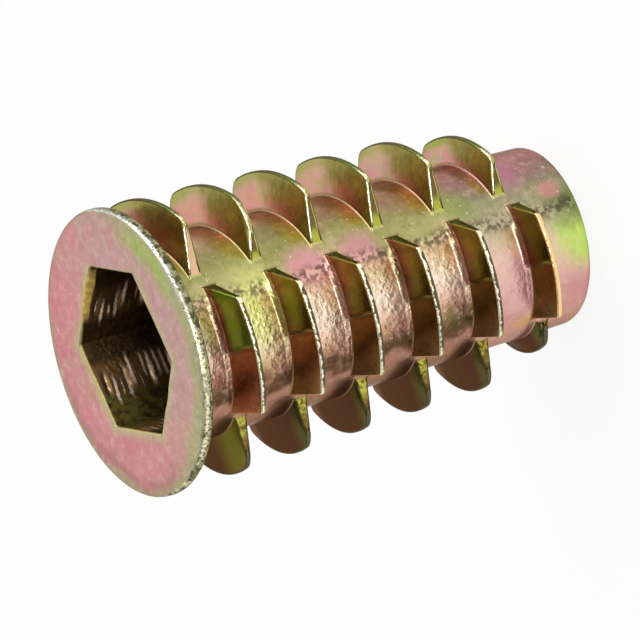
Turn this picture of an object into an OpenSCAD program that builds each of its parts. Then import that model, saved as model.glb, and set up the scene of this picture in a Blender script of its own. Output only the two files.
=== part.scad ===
// Flanged threaded insert for wood: one zinc die casting with a coarse outer
// thread of separate fins, a hexagon drive socket and a tapped bore.
// It stands on its tail, with the flange uppermost and the bore along Z.

/* [Overall] */
// Length from the flange's face to the end of the tail
insert_len = 25; // [20:0.5:40]
// Diameter of the flange
flange_d = 15; // [12:0.1:20]
// Thickness of the flange
flange_t = 0.7; // [0.5:0.05:1.2]
// Radius of the flange's rounded rim, on both faces
rim_round = 0.25; // [0.1:0.05:0.25]

/* [Drive socket] */
// Width of the hexagon across its flats
hex_af = 8; // [6:0.1:10]
// Depth of the hexagon from the flange's face
hex_depth = 10; // [4:0.5:14]
// Angle of a hexagon corner from the first row of fins
hex_turn = 17.6; // [0:0.1:60]

/* [Tapped bore] */
// Outside diameter of the screw that the bore takes
screw_d = 8; // [6:0.1:8.5]
// Pitch of that screw's thread
screw_pitch = 1.25; // [0.75:0.05:1.5]

/* [Body] */
// Wall outside a corner of the hexagon, at the flange
corner_wall = 0.76; // [0.4:0.02:2]
// Wall outside the screw, at the tail
tail_wall = 0.58; // [0.3:0.02:2]
// Radius of the rounded outer edge of the tail
tail_round = 0.6; // [0.1:0.05:0.8]

/* [Wood thread] */
// Distance from one turn to the next
thread_pitch = 3.65; // [2.5:0.05:6]
// Distance from the flange's face to the first fin's crest
thread_start = 2.33; // [1.5:0.01:4]
// Length of tail kept plain, with no fin centred on it
tail_plain = 2.3; // [1.5:0.1:6]
// Height of a fin above the body at the flange
fin_height = 2.18; // [1:0.02:3]
// How much lower a fin is at the tail end
fin_height_loss = 0.42; // [0:0.02:0.9]
// Thickness of a fin at its crest
crest_t = 0.28; // [0.15:0.01:0.6]
// Angle of the side that faces the flange
flange_side_deg = 8.7; // [0:0.1:15]
// Angle of the side that faces the tail
tail_side_deg = 2.4; // [0:0.1:10]
// How much lower each of the last fins is, to run the thread out
run_out = [0.4, 0.1, 0.9]; // [0:0.05:1]

/* [Fin ends] */
// Angle from a fin's middle to its leading end, where that meets the body
fin_start_deg = 26; // [10:0.5:40]
// Angle from its middle to its trailing end, where that meets the body
fin_end_deg = 57; // [30:0.5:60]
// Slant of the leading end, away from square to the trailing end
fin_slant_deg = 22; // [0:1:40]
// Step at the parting line, on the fins that the die halves share
parting_step = 0.3; // [0:0.02:0.5]
// How far below the crest that step ends
parting_land = 0.3; // [0.1:0.02:0.6]
// Distance of the parting line from the middle of those fins
parting_offset = 1.4; // [-2:0.1:2]

/* [Hidden] */
$fn = 96;

fins_per_turn = 4;
fin_pitch = thread_pitch / fins_per_turn;
fin_count = 1 + floor((insert_len - thread_start - tail_plain) / fin_pitch);

// Body radius at the flange's face and at the tail, and at a depth from that face.
hex_corner_r = hex_af / 2 / cos(30);
body_flange_r = hex_corner_r + corner_wall;
body_tail_r = screw_d / 2 + tail_wall;
function body_r(depth) = body_flange_r
    + (body_tail_r - body_flange_r) * depth / insert_len;

// Bore inside its thread, which is 0.541 of the pitch deep for a metric screw.
bore_d = screw_d - 2 * 0.541 * screw_pitch;

// Depth of fin number i from the flange's face, and its crest radius.
function fin_depth(i) = thread_start + i * fin_pitch;
function run_out_drop(i) = let (from_last = i - (fin_count - len(run_out)))
    from_last < 0 ? 0 : run_out[from_last];
function crest_r(i) = body_r(fin_depth(i)) + fin_height
    - fin_height_loss * fin_depth(i) / insert_len - run_out_drop(i);

// A fin's root reaches this far into the body.
fin_root = 0.35;
// A cutter runs this far past what it cuts.
past = 1;

// Points of an arc about [x, z], from one angle to another.
arc_steps = 6;
function arc(x, z, r, from, to) = [for (k = [0 : arc_steps])
    let (a = from + (to - from) * k / arc_steps) [x + r * cos(a), z + r * sin(a)]];

// Tapered body with its rounded tail and the flange, turned about the bore.
module body_blank() {
    rim_x = flange_d / 2 - rim_round;
    tail_corner_r = body_r(insert_len - tail_round);
    rotate_extrude() polygon(concat(
        [[0, 0]],
        arc(tail_corner_r - tail_round, tail_round, tail_round, -90, 0),
        [[body_r(flange_t), insert_len - flange_t]],
        arc(rim_x, insert_len - flange_t + rim_round, rim_round, -90, 0),
        arc(rim_x, insert_len - rim_round, rim_round, 0, 90),
        [[0, insert_len]]));
}

// Thread ring of fin number i: crest edge nearest the flange at z = 0.
module fin_ring(i, below_crest = 0) {
    outer = crest_r(i);
    inner = body_r(fin_depth(i)) - fin_root;
    reach = outer - below_crest;
    rise = tan(flange_side_deg);
    fall = tan(tail_side_deg);
    rotate_extrude() polygon([
        [inner, -crest_t - (outer - inner) * fall],
        [reach, -crest_t - below_crest * fall],
        [reach, below_crest * rise],
        [inner, (outer - inner) * rise]]);
}

// Plan of a fin whose middle lies along +X, seen from the flange, from one Y to
// another. The leading end slants, and the trailing end is square to the fin.
module fin_plan(i, from_y, to_y) {
    root_r = body_r(fin_depth(i));
    near_x = bore_d / 2 - fin_root;
    end_y = -root_r * sin(fin_end_deg);
    function start_y(x) = root_r * sin(fin_start_deg)
        + (root_r * cos(fin_start_deg) - x) * tan(fin_slant_deg);
    intersection() {
        polygon([[near_x, end_y], [flange_d, end_y],
            [flange_d, start_y(flange_d)], [near_x, start_y(near_x)]]);
        translate([0, from_y]) square([flange_d, to_y - from_y]);
    }
}

// One fin: a sector of a ring that leans with the thread's lead.
module leaning_fin(i) {
    lead = atan(thread_pitch / (PI * (crest_r(i) + body_r(fin_depth(i)))));
    intersection() {
        rotate([lead, 0, 0]) fin_ring(i);
        translate([0, 0, -thread_pitch])
            linear_extrude(2 * thread_pitch) fin_plan(i, -flange_d, flange_d);
    }
}

// The fins at the sides sit across the parting line. Up to that line their
// flange side is flat, so that the die can leave them, and then it steps back.
module parting_fin(i) {
    leaning_fin(i);
    intersection() {
        translate([0, 0, parting_step / 2]) fin_ring(i, parting_land);
        translate([0, 0, -thread_pitch])
            linear_extrude(2 * thread_pitch) fin_plan(i, -parting_offset, flange_d);
    }
}

module wood_thread() {
    for (i = [0 : fin_count - 1])
        translate([0, 0, insert_len - fin_depth(i)])
            rotate([0, 0, -i * 360 / fins_per_turn])
                if (i % 2 == 0) leaning_fin(i); else parting_fin(i);
}

// Hexagon socket, with a cone at its floor that leads the screw into the bore.
module socket_and_bore() {
    translate([0, 0, insert_len - hex_depth]) {
        rotate([0, 0, hex_turn])
            cylinder(r = hex_corner_r, h = hex_depth + past, $fn = 6);
        lead_in = (screw_d - bore_d) / 2;
        translate([0, 0, -lead_in])
            cylinder(d1 = bore_d, d2 = screw_d, h = lead_in);
    }
    translate([0, 0, -past]) cylinder(d = bore_d, h = insert_len + 2 * past);
}

module insert() {
    color("darkkhaki") difference() {
        union() {
            body_blank();
            wood_thread();
        }
        socket_and_bore();
    }
}

insert();
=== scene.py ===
from math import atan2, cos, degrees, hypot, pi, radians, sin, sqrt

import bmesh
import bpy
from mathutils import Euler, Matrix, Vector, noise


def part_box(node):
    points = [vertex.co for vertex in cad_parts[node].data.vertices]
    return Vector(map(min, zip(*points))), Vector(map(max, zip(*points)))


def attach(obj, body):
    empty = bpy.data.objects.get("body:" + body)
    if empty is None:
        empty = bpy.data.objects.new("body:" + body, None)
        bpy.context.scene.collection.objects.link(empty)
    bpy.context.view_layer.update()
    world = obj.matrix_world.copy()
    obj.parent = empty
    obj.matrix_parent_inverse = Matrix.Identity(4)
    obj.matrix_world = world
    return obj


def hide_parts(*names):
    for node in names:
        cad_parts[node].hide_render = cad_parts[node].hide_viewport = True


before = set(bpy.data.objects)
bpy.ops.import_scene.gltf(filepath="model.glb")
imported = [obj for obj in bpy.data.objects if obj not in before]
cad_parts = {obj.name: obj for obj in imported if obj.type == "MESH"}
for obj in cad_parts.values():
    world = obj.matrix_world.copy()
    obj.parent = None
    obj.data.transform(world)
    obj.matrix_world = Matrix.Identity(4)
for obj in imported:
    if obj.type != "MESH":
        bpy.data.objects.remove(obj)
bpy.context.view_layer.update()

# ---------------------------------------------------------------------------
# Wood thread and body
# The outside of the zinc casting: a slightly tapered body with coarse fins in
# four rows, which cut a thread in the wood. Two rows lie across the die's
# parting line and have a step there.
# ---------------------------------------------------------------------------
# Sizes are in millimetres, and depths are measured from the flange's face.
MM = 0.001
low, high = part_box("insert")
insert_len = (high.z - low.z) / MM
flange_r = (high.x - low.x) / MM / 2

body_flange_r = 5.379
body_tail_r = 4.58
thread_pitch = 3.64
thread_start = 2.33
fins_per_turn = 4
fin_count = 23
fin_height = 2.18
fin_height_loss = 0.42
# How much lower each of the last three fins is.
run_out = (0.4, 0.1, 0.9)
crest_t = 0.28
flange_lean = 0.33
tail_lean = 0.09
# For the fins inside one die half, and for those that both halves share: the
# angles of a fin's two ends where they meet the body, the slants of those
# ends, and the roundings of its crest's corners.
fin_start_deg, shared_start_deg = -31.5, -26
fin_start_slant_deg, shared_start_slant_deg = 16, 22
fin_end_deg, shared_end_deg = 59, 56
fin_end_slant_deg, shared_end_slant_deg = 4, 9.6
fin_rise = 0.075
line_deg = 15
parting_offset = 1.4
parting_land = 0.3
parting_fill = 0.65
root_fillet = 0.1
crest_round = 0.07
end_foot = 0.12
end_bevel = 0.12
end_face = 0.03
# The lengths of a fin's crest before and after the parting line.
fore_len, aft_len = 3.4, 3.6
start_corner, shared_start_corner = 0.55, 0.15
end_corner, shared_end_corner = 0.2, 0.15
worn_end_corners = {4: 0.9}

wall_top = 0.95
tail_round = 0.6
wall_bottom = insert_len - tail_round


class Wire:
    """An output of a node, in a tree of shader or geometry nodes. Sums with
    wires add their Math nodes to the tree."""

    def __init__(self, tree, socket=None):
        self.tree, self.socket = tree, socket

    def node(self, kind, settings={}, sockets={}):
        made = self.tree.nodes.new(kind)
        for name, value in settings.items():
            if name == "stops":
                ramp = made.color_ramp
                for place, colour in value:
                    stop = ramp.elements.new(place)
                    stop.color = (*colour, 1)
                ramp.elements.remove(ramp.elements[0])
                ramp.elements.remove(ramp.elements[-1])
            else:
                setattr(made, name, value)
        for name, value in sockets.items():
            socket = made.inputs[name] if isinstance(name, int) else next(
                s for s in made.inputs if s.enabled and s.name == name)
            if isinstance(value, Wire):
                self.tree.links.new(value.socket, socket)
            else:
                socket.default_value = value
        first = next((s for s in made.outputs if s.enabled), None)
        return Wire(self.tree, first)

    def __getitem__(self, name):
        node = self.socket.node
        return Wire(self.tree, next(
            s for s in node.outputs if s.enabled and s.name == name))

    def math(self, operation, *others):
        return self.node("ShaderNodeMath", {"operation": operation},
                         dict(enumerate((self, *others))))

    def __add__(self, other):
        return self.math("ADD", other)

    def __sub__(self, other):
        return self.math("SUBTRACT", other)

    def __rsub__(self, other):
        return self.node("ShaderNodeMath", {"operation": "SUBTRACT"},
                         {0: other, 1: self})

    def __mul__(self, other):
        return self.math("MULTIPLY", other)

    def __truediv__(self, other):
        return self.math("DIVIDE", other)

    def __rtruediv__(self, other):
        return self.node("ShaderNodeMath", {"operation": "DIVIDE"},
                         {0: other, 1: self})

    def __mod__(self, other):
        return self.math("FLOORED_MODULO", other)

    def __gt__(self, other):
        return self.math("GREATER_THAN", other)

    def __lt__(self, other):
        return self.math("LESS_THAN", other)

    __radd__ = __add__
    __rmul__ = __mul__

    def clip(self, lowest, highest):
        return self.math("MAXIMUM", lowest).math("MINIMUM", highest)

    def to(self, other, share):
        """This value where the share is 0, and the other where it is 1."""
        return self + (other - self) * share


def arc(x, z, r, start, end, steps):
    """Points of an arc about (x, z), between two angles in degrees."""
    turn = [radians(start + (end - start) * k / steps) for k in range(steps + 1)]
    return [(x + r * cos(a), z + r * sin(a)) for a in turn]


def fin_rows():
    """Points along the thread's section, from the flange side of a fin to that
    of the next turn. Each is (side, lift, level, fill, into side, into lift):
    its place is side, and its height is lift and a share of the fin's height.
    The last two point into the fin, for the bevels at its ends."""
    flange_a = degrees(atan2(flange_lean, fin_height))
    tail_a = degrees(atan2(tail_lean, fin_height))

    def half(lean, angle, mirror):
        foot = root_fillet * (1 - sin(radians(angle)))
        foot_x = -lean * (1 - foot / fin_height)
        fillet = arc(foot_x - root_fillet * cos(radians(angle)), root_fillet,
                     root_fillet, -90, -angle, 3)
        rows = [(x, z, 0, 0.3 + 0.7 * (k > 0), 0.8 * k / 3, 0)
                for k, (x, z) in enumerate(fillet)]
        rows += [(-lean * (1 - level), 0, level, 1, 1, 0) for level in (0.3, 0.6)]
        rows += [(-lean * parting_land / fin_height, -parting_land, 1, 1, 1, 0)]
        rows += [(x, z - crest_round, 1, 0, cos(radians(30 * k)), -sin(radians(30 * k)))
                 for k, (x, z) in enumerate(
                     arc(crest_round, 0, crest_round, 180, 90, 3))]
        return [(mirror * x, z, level, fill if mirror > 0 else 0, mirror * nx, nz)
                for x, z, level, fill, nx, nz in rows]

    flange_half = half(flange_lean, flange_a, 1)
    tail_half = [(crest_t + x, z, level, fill, nx, nz)
                 for x, z, level, fill, nx, nz in half(tail_lean, tail_a, -1)]
    fin = flange_half + tail_half[::-1]
    first, last = fin[0][0], fin[-1][0]
    core_steps = 9
    core = [(last + (first + thread_pitch - last) * k / core_steps, 0, 0,
             max(0, 1 - (core_steps - k) / 3) * 0.3, 0, 0)
            for k in range(1, core_steps + 1)]
    return fin, core


def fin_columns():
    """Places along a fin and the gap after it: (along, stand, foot, inset,
    filled). Along is 0 at its leading end, 1 at the parting line, 2 at its
    trailing end and 3 at the next fin."""
    near_end = (0.004, 0.015, 0.035, 0.065, 0.1, 0.14)
    fore_from, fore_to, fore_steps = 0.178, 0.985, 12
    aft_part, aft_steps = 0.852, 13
    lead = [(0, 0, 0, 0, 1), (0.012, 0, 0.25, 0, 1), (end_face, 0, 1, 0, 1),
            (end_face, 1, 0, 1, 1)]
    lead += [(end_face + step + 0.008, 1, 0, 0, 1) for step in near_end]
    fore = [(fore_from + (fore_to - fore_from) * k / fore_steps, 1, 0, 0, 1)
            for k in range(1, fore_steps + 1)]
    aft = [(1 + aft_part * k / aft_steps, 1, 0, 0, 0) for k in range(aft_steps)]
    aft += [(1.992 - step, 1, 0, 0, 0) for step in near_end[::-1]]
    trail = [(2, 1, 0, 1, 0), (2, 0, 1, 0, 0), (2.08, 0, 0.25, 0, 0),
             (2.2, 0, 0, 0, 0), (2.6, 0, 0, 0, 0), (3, 0, 0, 0, 0)]
    return lead + fore + aft + trail


def tile_mesh(name, points, row_count):
    """A grid of points as a mesh, with each point's named values kept."""
    mesh = bpy.data.meshes.new(name)
    columns = len(points) // row_count
    mesh.from_pydata(
        [(k // row_count, k % row_count, 0) for k in range(len(points))], [],
        [(c * row_count + r, (c + 1) * row_count + r,
          (c + 1) * row_count + r + 1, c * row_count + r + 1)
         for c in range(columns - 1) for r in range(row_count - 1)])
    for key in points[0]:
        layer = mesh.attributes.new(key, "FLOAT", "POINT")
        layer.data.foreach_set("value", [p[key] for p in points])
    tile = bpy.data.objects.new(name, mesh)
    bpy.context.scene.collection.objects.link(tile)
    return tile


fin_part, core_part = fin_rows()
fin_last = len(fin_part) - 1
spread_step = (fin_part[-1][0] - fin_part[0][0]) / fin_last
fin_points = []
for along, stand, foot, inset, filled in fin_columns():
    for k, (side, lift, level, fill, into_side, into_lift) in enumerate(
            fin_part + core_part):
        on_fin = k <= fin_last
        spread = fin_part[0][0] + spread_step * k if on_fin else side
        shoulder = min(k, fin_last - k) if on_fin else 0
        fin_points.append({
            "along": along,
            "stand": stand if on_fin else 0,
            "foot": foot * end_foot * min(1, shoulder / 2) if on_fin else 0,
            "side": side + end_bevel * inset * into_side,
            "spread": spread,
            "lift": lift + end_bevel * inset * into_lift,
            "level": level,
            "end": max(foot > 0.5, inset) * min(1, shoulder / 2),
            "fill": fill * filled})
fin_tile = tile_mesh("fin_tile", fin_points, len(fin_part + core_part))


def body_r(depth):
    """Radius of the tapered body at a depth."""
    return body_flange_r + (body_tail_r - body_flange_r) * (depth / insert_len)


def new_tree(name, inputs):
    """A geometry tree whose first input is a tile, and its named sizes."""
    tree = bpy.data.node_groups.new(name, "GeometryNodeTree")
    face = tree.interface
    face.new_socket("Tile", in_out="INPUT", socket_type="NodeSocketGeometry")
    for label, (kind, value) in inputs.items():
        socket = face.new_socket(label, in_out="INPUT", socket_type=kind)
        if value is not None:
            socket.default_value = value
    face.new_socket("Wall", in_out="OUTPUT", socket_type="NodeSocketGeometry")
    return tree, Wire(tree).node("NodeGroupInput")


def tiles_along(given):
    """Copies of the tile with their numbers, ready to be bent into place."""
    line = given.node("GeometryNodeMeshLine", {}, {"Count": given["Tiles"]})
    each = given.node("GeometryNodeInputIndex")
    copies = given.node("GeometryNodeInstanceOnPoints", {},
                        {"Points": line, "Instance": given["Tile"]})
    numbered = given.node("GeometryNodeStoreNamedAttribute",
                          {"data_type": "FLOAT", "domain": "INSTANCE"},
                          {"Geometry": copies, "Name": "tile", "Value": each})
    return given.node("GeometryNodeRealizeInstances", {}, {"Geometry": numbered})


def attribute(given, name):
    """A value that the tile's points carry."""
    return given.node("GeometryNodeInputNamedAttribute", {"data_type": "FLOAT"},
                      {"Name": name})


def end_as_wall(given, tiles, radius, turn_rad, depth):
    """Puts the tiles' points at a radius, a turn and a depth, welds them into
    one wall and gives it its material."""
    place = given.node("ShaderNodeCombineXYZ", {}, {
        "X": radius * turn_rad.math("COSINE") * MM,
        "Y": radius * turn_rad.math("SINE") * -MM,
        "Z": (insert_len - depth) * MM})
    bent = given.node("GeometryNodeSetPosition", {},
                      {"Geometry": tiles, "Position": place})
    welded = given.node("GeometryNodeMergeByDistance", {},
                        {"Geometry": bent, "Distance": weld_gap})
    wall = given.node("GeometryNodeSetMaterial", {},
                      {"Geometry": welded, "Material": given["Material"]})
    given.node("NodeGroupOutput", {}, {"Wall": wall})


def wall_from(tile, tree, sizes):
    """The tile run through the tree, as a plain mesh."""
    modifier = tile.modifiers.new(tree.name, "NODES")
    modifier.node_group = tree
    keys = {s.name: s.identifier for s in tree.interface.items_tree
            if s.in_out == "INPUT"}
    for label, value in sizes.items():
        modifier[keys[label]] = value
    bpy.context.view_layer.update()
    seen = tile.evaluated_get(bpy.context.evaluated_depsgraph_get())
    mesh = bpy.data.meshes.new_from_object(seen)
    bpy.data.objects.remove(tile)
    return mesh


metal = bpy.data.materials.new("yellow_chromate_with_painted_light")
# Tiles with no fin, before the first fin and after the last.
tiles_before = 6
weld_gap = 0.0002 * MM
thread_tree, given = new_tree("wood_thread", {
    "Tiles": ("NodeSocketInt", 30), "Pitch": ("NodeSocketFloat", thread_pitch),
    "First fin depth": ("NodeSocketFloat", thread_start),
    "Fins": ("NodeSocketInt", fin_count),
    "Fin height": ("NodeSocketFloat", fin_height),
    "Top": ("NodeSocketFloat", wall_top),
    "Bottom": ("NodeSocketFloat", wall_bottom),
    "Material": ("NodeSocketMaterial", None)})
tiles = tiles_along(given)
along, stand, foot, side, spread, lift, level, fill, tile = (
    attribute(given, name) for name in (
        "along", "stand", "foot", "side", "spread", "lift", "level", "fill", "tile"))
fin = tile - tiles_before
real = (fin > -0.5) * (fin < given["Fins"] - 0.5)
middle_depth = given["First fin depth"] + fin * given["Pitch"] / fins_per_turn
from_last = fin - given["Fins"]
lower = sum(((from_last + len(run_out) - k).math("ABSOLUTE") < 0.5) * loss
           for k, loss in enumerate(run_out))
height = given["Fin height"] - middle_depth * (fin_height_loss / insert_len) - lower
shared = (fin + tiles_before) % 2
lead = given["Pitch"] / 360


def corner_drop(to_end, own, both, extra=0):
    """How far a rounded corner of the crest lies below it, where a point is so
    far from the fin's end."""
    r = shared * (both - own) + own + extra
    inside = 1 - (to_end / r).clip(0, 1)
    return r - r * (1 - inside * inside).math("SQRT")


worn = sum(((fin - number).math("ABSOLUTE") < 0.5) * more
           for number, more in worn_end_corners.items())
drop = corner_drop((along - end_face) * fore_len, start_corner, shared_start_corner)
drop = drop.to(corner_drop((2 - along) * aft_len, end_corner, shared_end_corner, worn),
               along > 1)
up = real * (stand * (lift + level * (height - drop)) + foot)


def either(own, both):
    """A value for the fins of one die half, and one for those of both."""
    return shared * radians(both - own) + radians(own)


def end_turn(root, slant, out):
    """Angle of a slanted end, where the radius is so many times the body's."""
    reach = (root - slant).math("COSINE")
    step = (reach * reach - 1 + out * out).math("SQRT") - reach
    return (root.math("SINE") + step * slant.math("SINE")).math(
        "ARCTAN2", root.math("COSINE") + step * slant.math("COSINE"))


# Angle of a point from its fin's middle, between the fin's leading end, the
# parting line and its trailing end, each of which is a plane.
start_root = either(fin_start_deg, shared_start_deg)
end_root = either(fin_end_deg, shared_end_deg)
next_root = either(shared_start_deg + 90, fin_start_deg + 90)
line_root = radians(line_deg)
in_gap = along > 2.0001
root_turn = start_root.to(line_root, along).to(
    (along - 1) * (end_root - line_root) + line_root, along > 1).to(
    end_root.to(next_root, along - 2), in_gap)
near_r = body_r((middle_depth + root_turn * degrees(1) * lead + side).clip(
    given["Top"], given["Bottom"]))
out = 1 + up / near_r
start_turn = end_turn(
    start_root, either(fin_start_slant_deg, shared_start_slant_deg), out)
line_turn = (parting_offset / (near_r * out)).math("ARCSINE")
trailing_turn = end_turn(
    end_root, either(fin_end_slant_deg, shared_end_slant_deg), out)
turn = start_turn.to(line_turn, along).to(
    line_turn.to(trailing_turn, along - 1), along > 1).to(
    end_root.to(next_root, along - 2), in_gap)

# A fin is flat, and leans with the thread. On the fins that the die halves
# share, the flange side is filled to the parting line.
across = near_r * out * turn.math("SINE")
start_across = near_r * out * start_turn.math("SINE")
filled = across - (across - start_across) * fill * shared * parting_fill
end_drift = near_r * end_root.math("SINE") * fin_rise
next_drift = given["Pitch"] / fins_per_turn - near_r * (
    radians(90) - next_root).math("SINE") * fin_rise
drift = (filled * fin_rise).to(end_drift.to(next_drift, along - 2), in_gap)
depth = (middle_depth + drift + spread.to(side, stand * real)).clip(
    given["Top"], given["Bottom"])
end_as_wall(given, tiles, body_r(depth) + up,
            turn + fin * radians(360 / fins_per_turn), depth)
outer_wall = wall_from(fin_tile, thread_tree, {
    "Tiles": fin_count + 2 * tiles_before, "Material": metal})

# ---------------------------------------------------------------------------
# Drive socket and tapped bore
# A hexagon socket for the driving key, cast in, and below it the bore, tapped
# for a metric screw. The tap passes the socket first and marks its flats.
# ---------------------------------------------------------------------------
hex_af = 8
hex_turn = 17.6
hex_depth = 10
hex_corner_round = 0.25
screw_d = 8
screw_pitch = 1.25
tap_major_r = 4.06
# A metric internal thread is 0.541 of its pitch deep. Its crest is flat for an
# eighth of the pitch to either side, and its flank takes the next 0.3125.
tap_minor_r = screw_d / 2 - 0.541 * screw_pitch
crest_half, flank = 0.125, 0.3125
score_pitch = 0.385
lip_round = 0.15
lip_r = 4.3
lip_wear = 0.05
mouth_r = 5.2
worn_side = 12.4
worn_from = 2.2
worn_reach = 1.6
worn_lip = 0.34
worn_pinch = 0.25
worn_depth = 4
rubbed_side = 325
rubbed_spread = 24
rubbed_lip = 0.22
rubbed_depth = 0.45
floor_cone = 0.6
bore_chamfer = 0.45
sides = 6


def hex_r(from_corner):
    """Radius of the hexagon's wall, at an angle in degrees from a corner."""
    flat = hex_af / 2 / cos(radians(30 - abs(from_corner)))
    centre = (hex_af / 2 - hex_corner_round) / cos(radians(30))
    across = centre * sin(radians(from_corner))
    if abs(across) > hex_corner_round:
        return flat
    rounded = centre * cos(radians(from_corner)) + sqrt(
        hex_corner_round ** 2 - across ** 2)
    return min(flat, rounded)


# Angles at which a side of the hexagon has points, from its corner to its
# middle, and their places within one pitch of the tapped thread.
half_side = (0, 0.7, 1.4, 2.1, 5, 9, 13, 16.5, 19.5, 21.5, 23.5, 25.5, 27.5, 30)
corner_angles = [-a for a in half_side[:0:-1]] + list(half_side)
thread_phases = (0, 0.125, 0.28, 0.405, 0.4375, 0.5625, 0.595, 0.72, 0.875, 1)


def side_tile(name, hexagon):
    """One pitch of the wall over a sixth of a turn, round or as the hexagon."""
    return tile_mesh(name, [
        {"along": 0.5 + angle / 60, "phase": phase,
         "flat_r": hex_r(angle) if hexagon else 0}
        for angle in corner_angles for phase in thread_phases], len(thread_phases))


def tapped_tree(name):
    """Winds tiles into a wall that is tapped where the tap reaches past it."""
    tree, given = new_tree(name, {
        "Tiles": ("NodeSocketInt", 60), "Pitch": ("NodeSocketFloat", screw_pitch),
        "Minor radius": ("NodeSocketFloat", tap_minor_r),
        "Major radius": ("NodeSocketFloat", tap_major_r),
        "Start": ("NodeSocketFloat", 0),
        "Top": ("NodeSocketFloat", 0), "Bottom": ("NodeSocketFloat", 1),
        "Material": ("NodeSocketMaterial", None)})
    tiles = tiles_along(given)
    along, phase, flat_r, tile = (attribute(given, name) for name in (
        "along", "phase", "flat_r", "tile"))
    turns = (tile + along) / sides
    rise = given["Pitch"] * (turns + phase)
    depth = (given["Start"] + rise).clip(given["Top"], given["Bottom"])
    place = ((depth - given["Start"]) / given["Pitch"] - turns + 64) % 1
    to_root = (0.5 - (place - 0.5).math("ABSOLUTE") - crest_half) / flank
    tap_r = given["Minor radius"].to(given["Major radius"], to_root.clip(0, 1))
    end_as_wall(given, tiles, tap_r.math("MAXIMUM", flat_r),
                turns * radians(360) - radians(hex_turn + 30), depth)
    return tree


def tapped_wall(tile, tree, top, bottom):
    """The wall between two depths."""
    start = top - 2 * screw_pitch
    return wall_from(tile, tree, {
        "Tiles": sides * int((bottom - start) / screw_pitch + 2),
        "Start": start, "Top": top, "Bottom": bottom, "Material": metal})


tap_tree = tapped_tree("tapped_wall")
socket_wall = tapped_wall(side_tile("socket_tile", True), tap_tree,
                          lip_round, hex_depth)
bore_wall = tapped_wall(side_tile("bore_tile", False), tap_tree,
                        hex_depth + floor_cone, insert_len - bore_chamfer)

# ---------------------------------------------------------------------------
# Flange and tail
# The flange that stops against the board, and the rounded tail. They close the
# outer wall to the socket and the bore, so that the casting is one solid.
# ---------------------------------------------------------------------------
flange_t = 0.7
rim_round = 0.25
neck_round = wall_top - flange_t
lip_flat = 0.06
lip_bumps_per_mm = 1.3
end_chamfer = 0.1
floor_r = hex_af / 2 - 0.15
shell = bmesh.new()


def add_wall(mesh):
    """The wall's edge nearest the flange, and its edge nearest the tail."""
    before = len(shell.verts)
    shell.from_mesh(mesh)
    shell.verts.ensure_lookup_table()
    added = set(shell.verts[before:])
    middle = (max(v.co.z for v in added) + min(v.co.z for v in added)) / 2
    open_edges = [e for e in shell.edges if e.is_boundary and e.verts[0] in added]
    return ([e for e in open_edges if e.verts[0].co.z > middle],
            [e for e in open_edges if e.verts[0].co.z < middle])


def ring(edges, depth, radius=None, shift=0):
    """Draws a new edge out of an open one, to a depth and a radius, or by a
    shift outwards."""
    drawn = bmesh.ops.extrude_edge_only(shell, edges=edges)["geom"]
    for vert in drawn:
        if isinstance(vert, bmesh.types.BMVert):
            old = hypot(vert.co.x, vert.co.y) / MM
            new = old + shift if radius is None else radius
            vert.co.x *= new / old
            vert.co.y *= new / old
            vert.co.z = (insert_len - depth) * MM
    return [e for e in drawn if isinstance(e, bmesh.types.BMEdge)]


def join(first, second):
    """Closes the strip between two open edges, point by point round the axis."""
    rings = [sorted({v for e in edges for v in e.verts},
                    key=lambda v: atan2(v.co.y, v.co.x)) for edges in (first, second)]
    turns = [[atan2(v.co.y, v.co.x) for v in ring] for ring in rings]
    past_end = 9
    turns = [t + [t[0] + 2 * pi, past_end] for t in turns]
    rings = [r + [r[0]] for r in rings]
    same_turn = 0.001
    a = b = 0
    while a < len(rings[0]) - 1 or b < len(rings[1]) - 1:
        left, right = turns[0][a + 1], turns[1][b + 1]
        corners = [rings[0][a], rings[1][b]]
        if right < left + same_turn:
            b += 1
            corners.append(rings[1][b])
        if left < right + same_turn:
            a += 1
            corners.append(rings[0][a])
        shell.faces.new(corners)


neck, tail = add_wall(outer_wall)
lip, socket_end = add_wall(socket_wall)
bore_start, bore_end = add_wall(bore_wall)

# Rings near the flange's edges keep its faces flat.
rim_r = flange_r - rim_round
outline = arc(body_r(wall_top) + neck_round, wall_top, neck_round, 180, 270, 4)[1:]
outline += [(rim_r - 0.5, flange_t)]
outline += arc(rim_r, flange_t - rim_round, rim_round, 90, 0, 5)
outline += arc(rim_r, rim_round, rim_round, 0, -90, 5)
outline += [(rim_r - 0.3, 0), (6.3, 0), (5.3, 0)]
for r, z in outline:
    neck = ring(neck, z, r)
lip_steps = 4
for k in range(1, lip_steps + 1):
    around = radians(90 * k / lip_steps)
    lip = ring(lip, lip_round * (1 - sin(around)), shift=lip_round * (
        cos(radians(90 * (k - 1) / lip_steps)) - cos(around)))
for vert in {v for e in lip for v in e.verts}:
    nick = 1 + noise.noise(vert.co / MM * lip_bumps_per_mm) * lip_wear / lip_r
    vert.co.x *= nick
    vert.co.y *= nick
lip = ring(lip, 0, shift=lip_flat)

# One side of the socket's mouth is pressed out a little.
worn_way = Vector((cos(radians(worn_side)), -sin(radians(worn_side)), 0))
for vert in shell.verts:
    out = vert.co.dot(worn_way) / MM
    deep = insert_len - vert.co.z / MM
    in_mouth = hypot(vert.co.x, vert.co.y) < mouth_r * MM
    if out > worn_from and deep < worn_depth and in_mouth:
        across = vert.co - worn_way * (out * MM)
        across.z = 0
        share = min(1, (out - worn_from) / worn_reach) * (1 - deep / worn_depth)
        vert.co += (worn_way * MM - across * worn_pinch) * worn_lip * share

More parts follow.
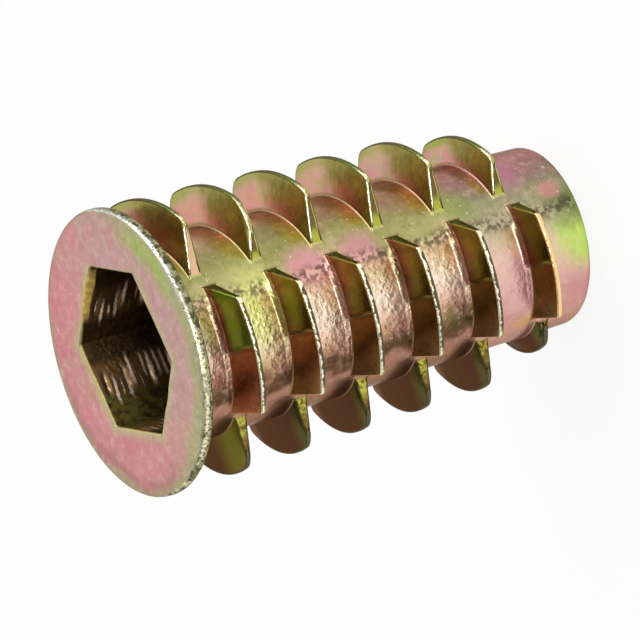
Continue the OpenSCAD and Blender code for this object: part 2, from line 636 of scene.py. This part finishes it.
# The lip is rubbed down beside another corner.
for vert in shell.verts:
    r = hypot(vert.co.x, vert.co.y) / MM
    deep = insert_len - vert.co.z / MM
    off = abs((degrees(atan2(-vert.co.y, vert.co.x)) - rubbed_side + 180) % 360 - 180)
    if r < mouth_r and deep < rubbed_depth and off < rubbed_spread:
        push = rubbed_lip * (1 - off / rubbed_spread) * (1 - deep / rubbed_depth)
        vert.co.x *= 1 + push / r
        vert.co.y *= 1 + push / r
join(neck, lip)

tail_r = body_r(wall_bottom) - tail_round
outline = arc(tail_r, wall_bottom, tail_round, 0, 90, 6)[1:]
outline += [(tail_r - 0.05, insert_len)]
for r, z in outline:
    tail = ring(tail, z, r)
for r, z in ((tap_major_r - end_chamfer, insert_len - end_chamfer),
             (tap_major_r, insert_len)):
    bore_end = ring(bore_end, z, r)
join(tail, bore_end)
socket_end = ring(socket_end, hex_depth, floor_r)
join(socket_end, bore_start)

bmesh.ops.recalc_face_normals(shell, faces=shell.faces)
for face in shell.faces:
    face.smooth = True
casting = bpy.data.meshes.new("threaded_insert")
shell.to_mesh(casting)
shell.free()
casting.materials.clear()
casting.materials.append(metal)
piece = bpy.data.objects.new("threaded_insert", casting)
bpy.context.scene.collection.objects.link(piece)
weighted = piece.modifiers.new("flat faces stay flat", "WEIGHTED_NORMAL")
weighted.weight = 50
bpy.context.view_layer.update()
seen = piece.evaluated_get(bpy.context.evaluated_depsgraph_get())
finished = bpy.data.meshes.new_from_object(seen)
piece.modifiers.clear()
piece.data = finished

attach(piece, "root")
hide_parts("insert")

# ---------------------------------------------------------------------------
# Yellow chromate finish
# Zinc die casting, plated and dipped in yellow chromate. The film is thinner or
# thicker from place to place, and shows pink, green, straw and brown. Some places
# also have painted highlight and painted shade, named where they are painted.
# ---------------------------------------------------------------------------
def dye(red, green, blue):
    """A colour written in display levels, in the shader's own units."""
    return [((c / 255 + 0.055) / 1.055) ** 2.4 if c > 10 else c / 255 / 12.92
            for c in (red, green, blue)]


def blend(share, first, second):
    """The first colour where the share is 0 and the second where it is 1."""
    a, b = (c if isinstance(c, Wire) else (*c, 1) for c in (first, second))
    return share.node("ShaderNodeMix", {"data_type": "RGBA"},
                      {"Factor": share, "A": a, "B": b})


def rise(value, low_end, high_end):
    """0 below the low end, 1 above the high end, and smooth between."""
    return value.node("ShaderNodeMapRange", {"interpolation_type": "SMOOTHSTEP"}, {
        "Value": value, "From Min": low_end, "From Max": high_end})


def bell(value, middle, width):
    """1 at the middle, falling smoothly to 0 at a width to either side."""
    return 1 - rise((value - middle).math("ABSOLUTE"), 0, width)


def band(value, low_end, high_end, soft):
    """1 between two ends, falling smoothly to 0 outside them."""
    return rise(value, low_end - soft, low_end + soft) * (
        1 - rise(value, high_end - soft, high_end + soft))


def speckle(size_mm, seed, detail=2, rough=0.5, where=None):
    """Cloudy noise whose patches are about so many millimetres across."""
    return finish.node("ShaderNodeTexNoise", {"noise_dimensions": "4D"}, {
        "Vector": where or place, "W": seed, "Scale": 1 / (size_mm * MM),
        "Detail": detail, "Roughness": rough})


def of_mesh(name):
    """A value that the mesh's points carry."""
    return finish.node("ShaderNodeAttribute", {"attribute_name": name})["Fac"]


metal.use_nodes = True
finish = Wire(metal.node_tree)
place = finish.node("ShaderNodeTexCoord")["Object"]
split = finish.node("ShaderNodeSeparateXYZ", {}, {"Vector": place})
x, y, z = (split[name] / MM for name in "XYZ")
radius = (x * x + y * y).math("SQRT")
depth = insert_len - z
turn = ((y * -1).math("ARCTAN2", x) * degrees(1) + 360) % 360
lift, along, stand, tile, end = (
    of_mesh(name) for name in ("lift", "along", "stand", "tile", "end"))
level = of_mesh("level") * stand
number = (tile - tiles_before + 0.5).math("FLOOR")
row = (number + 2 * fins_per_turn) % fins_per_turn
first_fin = number < 0.5
last_fins = number > fin_count - 2.5
stretched = finish.node("ShaderNodeCombineXYZ", {}, {
    "X": turn * (MM * 0.1), "Y": radius * (MM * 0.2), "Z": depth * (MM * 0.2)})

cloud = speckle(3.2, 1.3) - 0.5
cloud_2 = speckle(1.6, 7.1) - 0.5
crinkle = speckle(0.26, 3.3)
peel = speckle(0.75, 5.5)
grain = speckle(0.09, 9.1, 2, 0.6)
beads = speckle(0.2, 2.2, 1)
streaks = speckle(0.2, 4.4, 2, 0.6, stretched)
glint_flecks = rise(speckle(0.14, 6.1, 1), 0.68, 0.75)

# The sides of the body that the two slides of the die form are rougher.
side_turn = turn % 180
rough_side = band(side_turn + cloud_2 * 10, 73, 127, 3)
late = rise(depth, 17.6, 18.9)
real = (number > -0.5) * (number < fin_count - 0.5) * (depth < wall_bottom)

# The body: the film changes its colour round it, and towards its tail. Near the
# flange, the light band round 97 to 110 degrees is partly painted highlight, and
# the dark band round 120 to 140 degrees is painted shade.
wander = (cloud * 40 + cloud_2 * 26) * (1 - rough_side * 0.6)
around = ((turn + wander + 360) % 360) / 360


def round_the_body(*colours):
    """Colours at their turns round the body, in degrees."""
    return finish.node("ShaderNodeValToRGB", {"stops": [
        (angle / 360, dye(*colour)) for angle, colour in colours]}, {"Fac": around})


# Stops from 97 to 110 degrees are partly painted highlight, those from 128 to 137 degrees
# painted shade.
flange_end_film_and_painted_light = round_the_body(
    (0, (156, 132, 110)), (24, (200, 166, 136)), (38, (156, 142, 98)),
    (54, (158, 158, 94)), (66, (184, 178, 118)), (80, (220, 192, 148)),
    (97, (255, 234, 212)), (110, (255, 218, 192)), (120, (212, 166, 132)),
    (128, (118, 84, 58)), (137, (108, 76, 54)), (143, (178, 130, 110)),
    (152, (170, 128, 106)), (165, (160, 120, 98)), (190, (150, 110, 90)),
    (225, (165, 162, 100)), (265, (215, 185, 140)), (300, (205, 150, 150)),
    (330, (180, 160, 110)), (359, (156, 132, 110)))
tail_end = round_the_body(
    (0, (165, 120, 115)), (24, (194, 142, 138)), (40, (164, 122, 120)),
    (52, (154, 136, 116)), (62, (160, 158, 116)), (72, (172, 165, 128)),
    (84, (208, 192, 156)), (98, (240, 200, 182)), (114, (230, 186, 172)),
    (130, (212, 152, 150)), (155, (216, 166, 152)), (190, (160, 120, 105)),
    (240, (175, 165, 115)), (300, (210, 160, 160)), (330, (190, 160, 125)),
    (359, (165, 120, 115)))
body_colour = blend(late, flange_end_film_and_painted_light, tail_end)
along_thread = depth - turn * (thread_pitch / 360)
warm = rise(depth + cloud * 12, 9, 13) * band(turn + cloud_2 * 30, 18, 50, 8) * (1 - late)
body_colour = blend(warm * 0.6, body_colour, dye(170, 122, 104))

# Soft mottles, light and dark.
mottle = speckle(0.42, 11.7, 3, 0.65)
light_mottle = rise(mottle, 0.5, 0.68) * (1 - rough_side) * (late * 0.2 + 0.22)
body_colour = blend(light_mottle, body_colour, dye(214, 190, 160))
dark_mottle = (1 - rise(mottle, 0.34, 0.5)) * (1 - rise(turn, 66, 74))
body_colour = blend(dark_mottle * 0.3, body_colour, dye(108, 104, 74))

# Spots of other colours: each one's turn and depth, how far it reaches round
# and along the body, its strength and its colour. One is painted shade.
for spot_turn, spot_depth, turn_reach, depth_reach, strength, spot_dye in (
        (70, 8.8, 24, 2.3, 0.9, (222, 154, 160)),
        (68, 12, 20, 2.1, 0.75, (214, 144, 154)),
        (88, 5.7, 46, 2.8, 0.75, (224, 234, 130)),
        (95, 24.6, 32, 2.9, 0.9, (190, 226, 96)),
        (76, 24.4, 24, 2.6, 0.75, (112, 130, 74)),
        (62, 23.6, 11, 1.1, 0.7, (214, 138, 140)),
        (112, 20.9, 30, 1.8, 0.8, (246, 184, 190)),
        (124, 16.8, 16, 1.9, 0.7, (104, 100, 58)),
        (86, 13.4, 22, 1.1, 0.5, (122, 124, 70)),
        # Painted shade in the gap beside the flange.
        (94, 2.4, 26, 1.6, 0.7, (126, 98, 66)),
        (146, 21.2, 12, 1.6, 0.7, (214, 176, 104)),
        (40, 21.6, 34, 2, 0.6, (196, 128, 150)),
        (58, 18.4, 18, 1.6, 0.6, (140, 160, 84))):
    spot = bell(turn, spot_turn, turn_reach) * bell(depth, spot_depth, depth_reach)
    ragged = (cloud_2 * 0.5 + (mottle - 0.5) * 0.7) * rise(spot, 0, 0.3)
    spot = rise(spot + ragged, 0.04, 0.9)
    body_colour = blend(spot * strength, body_colour, dye(*spot_dye))

# The rough sides: painted shade in the hollows of their crinkle, deepest near the
# next fin, painted highlight on its ridges, and a dark seam along their edges.
gap_side = of_mesh("side")
near_next = rise(gap_side + cloud_2 * 1.4, 1.9, 2.9)
coarse = rough_side * (1 - late * 0.7)
# Painted shade in the crinkle's hollows, deeper towards the next fin.
pit_shade_colour = blend(bell(along_thread, 9.6, 2.2), dye(112, 104, 44), dye(124, 72, 80))
painted_pit_shade = (1 - rise(crinkle, 0.36, 0.5)) * coarse * (0.14 + 0.4 * near_next)
body_colour = blend(painted_pit_shade, body_colour, pit_shade_colour)
body_colour = blend(near_next * coarse * 0.3, body_colour, dye(214, 152, 164))
# Painted highlight on the crinkle's ridges.
body_colour = blend(rise(crinkle, 0.54, 0.66) * coarse * 0.35, body_colour, dye(255, 240, 208))
seam = bell(side_turn + cloud_2 * 12, 74, 8)
seam = seam.math("MAXIMUM", bell(side_turn + cloud_2 * 14, 131, 9) * (1 - late) * 0.8)
body_colour = blend(seam * (1 - rise(crinkle, 0.44, 0.58)) * 0.75, body_colour, dye(74, 64, 46))
# White flecks of painted glint.
glint_flecked = glint_flecks * (1 - rise(turn, 62, 74)) * (1 - rise(turn, 300, 320))
body_colour = blend(glint_flecked * 0.7, body_colour, dye(240, 224, 196))
under = band(row, 1.5, 2.5, 0.01)
on_foot = rise(lift * stand * real, 0.01, 0.04)
# A line along the fins' roots, painted highlight where their rounding catches light.
root_highlight_line = on_foot * (1 - rise(level, 0.02, 0.08)) * (1 - under)
root_highlight_colour = blend((row % 2) > 0.5, dye(160, 124, 84), dye(206, 142, 138))
body_colour = blend(root_highlight_line * 0.7, body_colour, root_highlight_colour)

# The fins' faces. Most are pink before the parting line and a darker olive after
# it, whose darkness is painted shade. Those of the second row are brown, and the
# lowest row's are darkest, which is painted shade.
level = level * real
end = end * real
tips = rise(level + cloud_2 * 0.6, 0.62, 1.15)
low_down = 1 - rise(level + cloud_2 * 0.8, 0.1, 0.6)
far = rise(along + cloud_2 * 0.6 + (level - 0.5) * 0.2, 0.7, 1.2)
near_low = blend(rise(depth, 9, 19), dye(216, 158, 140), dye(198, 162, 148))
near_face = blend(rise(level + cloud_2 * 0.5, 0.3, 0.8), near_low, dye(204, 166, 140))
blotch = speckle(0.9, 12.4)
near_face = blend(rise(blotch, 0.52, 0.66) * 0.5, near_face, dye(176, 176, 104))
near_face = blend((1 - rise(blotch, 0.36, 0.48)) * 0.45, near_face, dye(216, 134, 142))
near_face = blend(tips, near_face, dye(156, 168, 88))
# After the parting line the face is darker: painted shade.
far_face_shaded = blend(low_down, dye(152, 142, 80), dye(180, 126, 98))
far_face_shaded = blend(rise(along + cloud_2, 1.45, 1.85), far_face_shaded, dye(174, 162, 84))
own_face = blend(far, near_face, far_face_shaded)
first_green = 1 - rise(depth + level * -1.5, 3.2, 4.8)
first_green = first_green * rise(level + cloud_2, 0.1, 0.6) * 0.8
shared_face = blend(low_down, dye(148, 128, 62), dye(170, 110, 80))
middle = band(along + cloud_2 * 0.3, 0.5, 1.1, 0.15)
middle_face = blend(low_down, dye(120, 112, 50), dye(128, 86, 64))
shared_face = blend(middle, shared_face, middle_face)
shared_face = blend(first_green, shared_face, dye(142, 186, 70))
shared_far = blend(rise(depth, 4, 13), dye(186, 132, 92), dye(144, 120, 64))
shared_far = blend(rise(along + cloud_2 * 0.5, 1.3, 1.85) * 0.85,
                   shared_far, dye(230, 184, 132))
shared_face = blend(rise(along, 0.98, 1.0), shared_face, shared_far)
# The lowest row is dark with painted shade.
lowest_row_shaded = blend(rise(along + cloud_2 * 0.5, 0.05, 0.4), dye(90, 86, 52), dye(82, 56, 48))
lowest_row_shaded = blend(rise(along, 1.5, 1.8), lowest_row_shaded, dye(124, 90, 74))
low_green = (1 - rise(depth, 5, 6.5)) * (1 - rise(along, 0.3, 1))
lowest_row_shaded = blend(low_green, lowest_row_shaded, dye(108, 106, 48))
face_colour = blend(band(row, 0.5, 1.5, 0.01), own_face, shared_face)
face_colour = blend(under, face_colour, lowest_row_shaded)
stained = (1 - rise(mottle, 0.36, 0.56)) * (far * 0.2 + 0.05)
face_colour = blend(stained, face_colour, dye(84, 62, 30))
scratched = rise(streaks, 0.64, 0.76) * (1 - under)
face_colour = blend(scratched * 0.25, face_colour, dye(235, 205, 160))

# Their ends, and their crests. The crests' flange side is worn bright with painted
# highlight where it faces the light round the body; the rest of each crest is
# painted shade, painted lighter near its trailing end.
leading_end = blend(rise(grain, 0.42, 0.6), dye(66, 66, 32), dye(104, 112, 62))
low_end = blend(rise(streaks * 0.5 + speckle(0.16, 5.9) * 0.5, 0.38, 0.6),
                dye(110, 84, 34), dye(200, 196, 86))
low_end = blend(rise(level + cloud_2 * 0.6, 0.3, 0.75) * 0.75, low_end, dye(128, 96, 56))
leading_end = blend(under, leading_end, low_end)
trailing_end = blend(rise(level + cloud_2 * 0.5, 0.12, 0.42),
                     dye(178, 182, 74), dye(122, 104, 60))
trailing_end = blend(first_fin, trailing_end, dye(232, 190, 152))
end_colour = blend(rise(along, 0.9, 1.1), leading_end, trailing_end)
face_colour = blend(end, face_colour, end_colour)
# Wear, with painted highlight.
wear_and_highlight = blend(rise(beads, 0.34, 0.5), dye(205, 178, 120), dye(255, 246, 216))
wear_and_highlight = blend(last_fins, wear_and_highlight, dye(255, 216, 156))
bevel = end * (1 - end) * 5 * rise(along, 1.5, 1.9)
corner = (bevel * (gap_side < 0.12)).clip(0, 1) * rise(stand, 0.9, 1)
# Painted light that hides the shade on the tail side of the trailing ends' bevel.
tail_corner_light = bevel.clip(0, 1) * (1 - corner) * (1 - under)
face_colour = blend(tail_corner_light * 0.8, face_colour, dye(216, 212, 136))
face_colour = blend(corner, face_colour, wear_and_highlight)
# The face colour, and with it the lowest row's painted shade, also covers the rounding at the
# roots.
far_foot = (row % 2 > 0.5) * (along > 1) * (1 - under)
on_fin = rise(level, 0.02, 0.12).math("MAXIMUM", on_foot * (under + far_foot))
colour = blend(on_fin.math("MAXIMUM", end), body_colour, face_colour)
crest = rise(lift, -0.1, -0.06) * (of_mesh("level") > 0.99)
crest = crest * (1 - end) * rise(stand, 0.9, 1) * real
line_width = (beads - 0.5) * 0.3 + (mottle - 0.5) * 0.4 + 0.11
line_width = line_width + (1 - rise(along, 0.05, 0.22)) * 0.2 + last_fins * 0.2
# Painted highlight along the crest's flange side, round the side of the body that faces the
# light.
highlight_side = (1 - rise(gap_side - line_width, -0.02, 0.03)) * band(turn, 36, 150, 6)
# The rest of the crest is painted shade, painted lighter near the trailing end.
crest_shade = blend(band(turn, 20, 66, 10), dye(96, 92, 70), dye(104, 116, 64))
crest_shade = blend(rise(along, 1.8, 1.95), crest_shade, dye(176, 172, 96))
colour = blend(crest, colour, blend(highlight_side, crest_shade, wear_and_highlight))

# The flange's face is pink, and greyish green towards one side of its rim.
on_flange = depth < wall_top - 0.05
off_flange = 1 - on_flange
at_rim = radius > 7.2
patch = speckle(3.2, 15.2) - 0.5
pinker = band(turn + patch * 70, 158, 334, 24)
flange_colour = blend(pinker, dye(196, 162, 156), dye(210, 146, 148))
flange_colour = blend(rise(cloud_2, 0, 0.2) * 0.35, flange_colour, dye(204, 148, 158))
flange_colour = blend(rise(patch, 0, 0.24) * 0.5, flange_colour, dye(192, 158, 136))
pinkest = rise(speckle(1.7, 18.3), 0.5, 0.64)
pinkest = pinkest * (1 - rise(turn, 40, 60) * (1 - rise(turn, 120, 150)))
flange_colour = blend(pinkest * 0.4, flange_colour, dye(208, 126, 142))
greener = rise(radius + patch * 2 + cloud_2 * 0.8, 5.7, 6.7) * band(turn, 26, 76, 16)
green_rim = rise(radius + patch * 2.4, 6.2, 7.2) * band(turn, 30, 165, 20) * 0.7
greener = greener.math("MAXIMUM", green_rim)
flange_colour = blend(greener * 0.9, flange_colour, dye(160, 188, 98))
darker = rise(radius + patch * 2, 6, 6.9) * band(turn + cloud * 30, 160, 262, 20)
flange_colour = blend(darker * 0.6, flange_colour, dye(166, 118, 116))
outer_edge = rise(radius + patch * 1.5 + cloud_2 * 0.6, 6.7, 7.3)
outer_edge = outer_edge * (1 - bell((turn + 200) % 360, 180, 75) * 0.85)
flange_colour = blend(outer_edge * 0.8, flange_colour, dye(172, 168, 132))
to_flat = ((turn + hex_turn) % 60 - 30) * radians(1)
mouth_gap = radius * to_flat.math("COSINE") - hex_af / 2
mouth_edge = 1 - rise(mouth_gap + cloud_2 * 0.5 + (beads - 0.5) * 0.2, 0.14, 0.7)
flange_colour = blend(mouth_edge * 0.8, flange_colour, dye(188, 184, 140))
flange_colour = blend(rise(mottle, 0.5, 0.7) * 0.34, flange_colour, dye(228, 200, 188))
flange_colour = blend((1 - rise(mottle, 0.32, 0.5)) * 0.28, flange_colour, dye(158, 122, 116))
# White flecks of painted glint.
flange_colour = blend(glint_flecks * 0.6, flange_colour, dye(245, 215, 200))

# The rim has painted highlight near its edge, more of it round one side, over
# painted shade, and its edge has a line of painted highlight.
rim_shade = blend(rise(mottle + (beads - 0.5) * 0.5, 0.38, 0.6),
                 dye(84, 84, 58), dye(170, 166, 126))
rim_highlight = blend(rise(turn, 60, 90), dye(226, 230, 236), dye(250, 244, 200))
rim_highlight = blend(rise(beads, 0.5, 0.6) * 0.7, rim_highlight, dye(120, 112, 96))
rim_patchy = rise(speckle(0.7, 3.9, 3) + (1 - rise(turn, 130, 155)) * 0.16, 0.5, 0.58)
rim_reach = rise(turn, 70, 110) * 0.18 + 0.24 - depth
rim_highlight_mask = rise(rim_reach + (beads - 0.5) * 0.9 + cloud_2 * 0.3, 0, 0.08)
rim_colour = blend(rim_highlight_mask * rim_patchy, rim_shade, rim_highlight)
rim_highlight_line = bell(depth, 0.08, 0.05) * rise(beads, 0.3, 0.5)
rim_colour = blend(rim_highlight_line * 0.8, rim_colour, dye(214, 216, 184))
flange_colour = blend(rise(depth, 0.03, 0.07) * at_rim, flange_colour, rim_colour)
colour = blend(on_flange, colour, flange_colour)

# Inside the socket and the bore. The tap has scored the socket's flats, the
# mouth's lip has painted highlight, and it is worn on one side.
edge = 0.02
in_bore = radius < tap_major_r + edge
in_socket = (radius < 4.7) * (depth < hex_depth + 0.7)
inside = in_bore.math("MAXIMUM", in_socket) * (depth > edge) * (depth < insert_len - edge)
around_socket = (turn + hex_turn + 720) % 60
touched = band(around_socket + cloud_2 * 8, 18, 45, 3) * (1 - rise(depth, 9, 10))
inside_colour = blend(rise(mottle, 0.35, 0.6), dye(84, 66, 38), dye(108, 84, 52))
inside_colour = blend(touched, inside_colour, dye(140, 108, 68))
low_side = band(turn, 205, 245, 4)
low_side = low_side * rise(mottle + cloud_2 * 0.6, 0.4, 0.66)
inside_colour = blend(low_side, inside_colour, dye(132, 126, 62))
turns_cut = (depth - turn * (screw_pitch / 360)) / score_pitch + cloud_2 * 0.9
mark = (turns_cut + 0.25).math("FLOOR")
chance, chance_2 = (
    finish.node("ShaderNodeTexWhiteNoise", {"noise_dimensions": "1D"}, {"W": seed})
    for seed in (mark, mark + 40.5))
wave = (turns_cut * (2 * pi)).math("SINE")
scored = rise(wave + (beads - 0.5) * 2 + chance * 1.2 - 0.5, 0.25, 0.95)
scored = scored * band(depth, 0.5, 4.6, 0.4) * bell(
    around_socket + (beads - 0.5) * 8 + (chance_2 - 0.5) * 18, 32, chance * 9 + 8)
scored = scored * (0.35 + 0.65 * band(turn, 226, 342, 4))
inside_colour = blend((scored * 2.2).clip(0, 1), inside_colour, dye(255, 228, 206))
# Painted highlight along the mouth's lip.
lip_highlight = 1 - rise(depth + cloud_2 * 0.2 + (beads - 0.5) * 0.1, 0.06, 0.18)
lip_colour = blend(band(turn, 214, 284, 5), dye(206, 190, 128), dye(190, 174, 122))
inside_colour = blend(lip_highlight, inside_colour, lip_colour)
rubbed = band(turn, 302, 344, 4) * (1 - rise(depth + cloud_2 * 0.4, 0.38, 0.5)) * 0.9
rubbed_colour = blend(rise(mottle + beads * 0.3, 0.5, 0.75),
                      dye(232, 196, 108), dye(190, 158, 76))
inside_colour = blend(rubbed, inside_colour, rubbed_colour)
colour = blend(inside, colour, inside_colour)

# Fine relief in millimetres, gloss, and the places where the film is dull.
body_height = crinkle * (1 - near_next * 0.5) * 0.1 + peel * 0.03 + grain * 0.003
smooth_height = speckle(0.5, 8.8) * 0.012 + grain * 0.002 + glint_flecks * 0.01
face_height = streaks * 0.015 + grain * 0.003
surface = smooth_height.to(body_height, coarse * off_flange)
surface = surface.to(face_height, on_fin * off_flange)
surface = surface + beads * (crest + corner) * off_flange * 0.06
surface = surface + beads * on_flange * at_rim * 0.03
bump = finish.node("ShaderNodeBump", {}, {"Strength": 1, "Distance": MM, "Height": surface})
shader = metal.node_tree.nodes["Principled BSDF"]
roughness = cloud_2 * 0.12 + 0.28 + coarse * (1 - on_fin) * 0.08 + inside * 0.22
dull_mark = scored.clip(0, 1) * (0.5 + 0.45 * band(turn, 286, 342, 4))
metallic = 1 - inside * rubbed.math("MAXIMUM", dull_mark)
for name, value in (("Base Color", colour), ("Normal", bump), ("Roughness", roughness),
                    ("Metallic", metallic)):
    metal.node_tree.links.new(value.socket, shader.inputs[name])
shader.inputs["Specular Tint"].default_value = (0.55, 0.48, 0.42, 1)

# ---------------------------------------------------------------------------
# Studio
# A white sweep under a sky that is brighter on one side, a large lamp beside
# the part, and two small ones in front that glint on its edges.
# ---------------------------------------------------------------------------
floor_half = 1.5
bright_way = (0.55, 0.8, 0.1)
floor_mesh = bpy.data.meshes.new("floor")
floor_mesh.from_pydata([(x_way * floor_half, y_way * floor_half, 0) for x_way, y_way in (
    (-1, -1), (1, -1), (1, 1), (-1, 1))], [], [(0, 1, 2, 3)])
floor = bpy.data.objects.new("floor", floor_mesh)
bpy.context.scene.collection.objects.link(floor)
paper = bpy.data.materials.new("white_paper")
paper.use_nodes = True
floor_mesh.materials.append(paper)
paper_shader = paper.node_tree.nodes["Principled BSDF"]
paper_shader.inputs["Base Color"].default_value = (0.95, 0.95, 0.95, 1)
paper_shader.inputs["Roughness"].default_value = 1
paper_shader.inputs["Specular IOR Level"].default_value = 0
paper_glow = 0.88
sheet = Wire(paper.node_tree)
lit = Wire(paper.node_tree, paper_shader.outputs["BSDF"])
glow = sheet.node("ShaderNodeEmission", {}, {"Color": (1, 1, 1, 1), "Strength": 1})
path = sheet.node("ShaderNodeLightPath")
seen = (path["Is Camera Ray"] + path["Is Glossy Ray"] + path["Is Transmission Ray"]).clip(0, 1)
mixed = sheet.node("ShaderNodeMixShader", {}, {0: seen * paper_glow, 1: lit, 2: glow})
paper_end = paper.node_tree.nodes["Material Output"]
paper.node_tree.links.new(mixed.socket, paper_end.inputs["Surface"])

world = bpy.data.worlds.new("studio")
bpy.context.scene.world = world
world.use_nodes = True
air = Wire(world.node_tree)
towards = air.node("ShaderNodeTexCoord")["Generated"]
facing = air.node("ShaderNodeVectorMath", {"operation": "DOT_PRODUCT"}, {
    0: towards, 1: bright_way})["Value"]
sky = air.node("ShaderNodeMapRange", {"interpolation_type": "SMOOTHSTEP"}, {
    "Value": facing, "From Min": -0.4, "From Max": 0.4, "To Min": 0.32, "To Max": 1.05})
below = 1 - (air.node("ShaderNodeSeparateXYZ", {}, {"Vector": towards})["Z"] > -0.001)
strength = sky.to(1, below)
background = world.node_tree.nodes["Background"]
background.inputs["Color"].default_value = (1, 1, 1, 1)
world.node_tree.links.new(strength.socket, background.inputs["Strength"])

for lamp_name, lamp_size, watts, lamp_place in (
        ("key", 0.4, 1.1, (0.35, -0.1, 0.1)),
        ("glint", 0.16, 0.25, (0.16, -0.32, 0.12)),
        ("front", 0.16, 0.4, (-0.04, -0.34, 0.09))):
    light = bpy.data.lights.new(lamp_name, "AREA")
    light.size = lamp_size
    light.energy = watts
    lamp = bpy.data.objects.new(lamp_name, light)
    bpy.context.scene.collection.objects.link(lamp)
    lamp.location = lamp_place
    lamp.rotation_euler = (-Vector(lamp_place)).to_track_quat("-Z", "Y").to_euler()

# The camera looks a little down on the part, rolled over so that the flange is
# at its left, and draws it without perspective.
view_azimuth, view_elevation, view_roll = 0.245, 27.944, -105.891
view_aim = Vector((-1.054, 0.519, 13.486)) * MM
view_width = 32.24 * MM
view_distance = 0.5
camera = bpy.data.cameras.new("camera")
camera.type = "ORTHO"
camera.ortho_scale = view_width
camera.clip_start, camera.clip_end = 0.01, 10
eye = bpy.data.objects.new("camera", camera)
bpy.context.scene.collection.objects.link(eye)
turned = Euler((radians(90 - view_elevation), 0, radians(view_azimuth))).to_matrix()
eye.location = view_aim + turned @ Vector((0, 0, view_distance))
eye.rotation_euler = (turned @ Matrix.Rotation(radians(view_roll), 3, "Z")).to_euler()
bpy.context.scene.camera = eye
bpy.context.scene.view_settings.view_transform = "Standard"
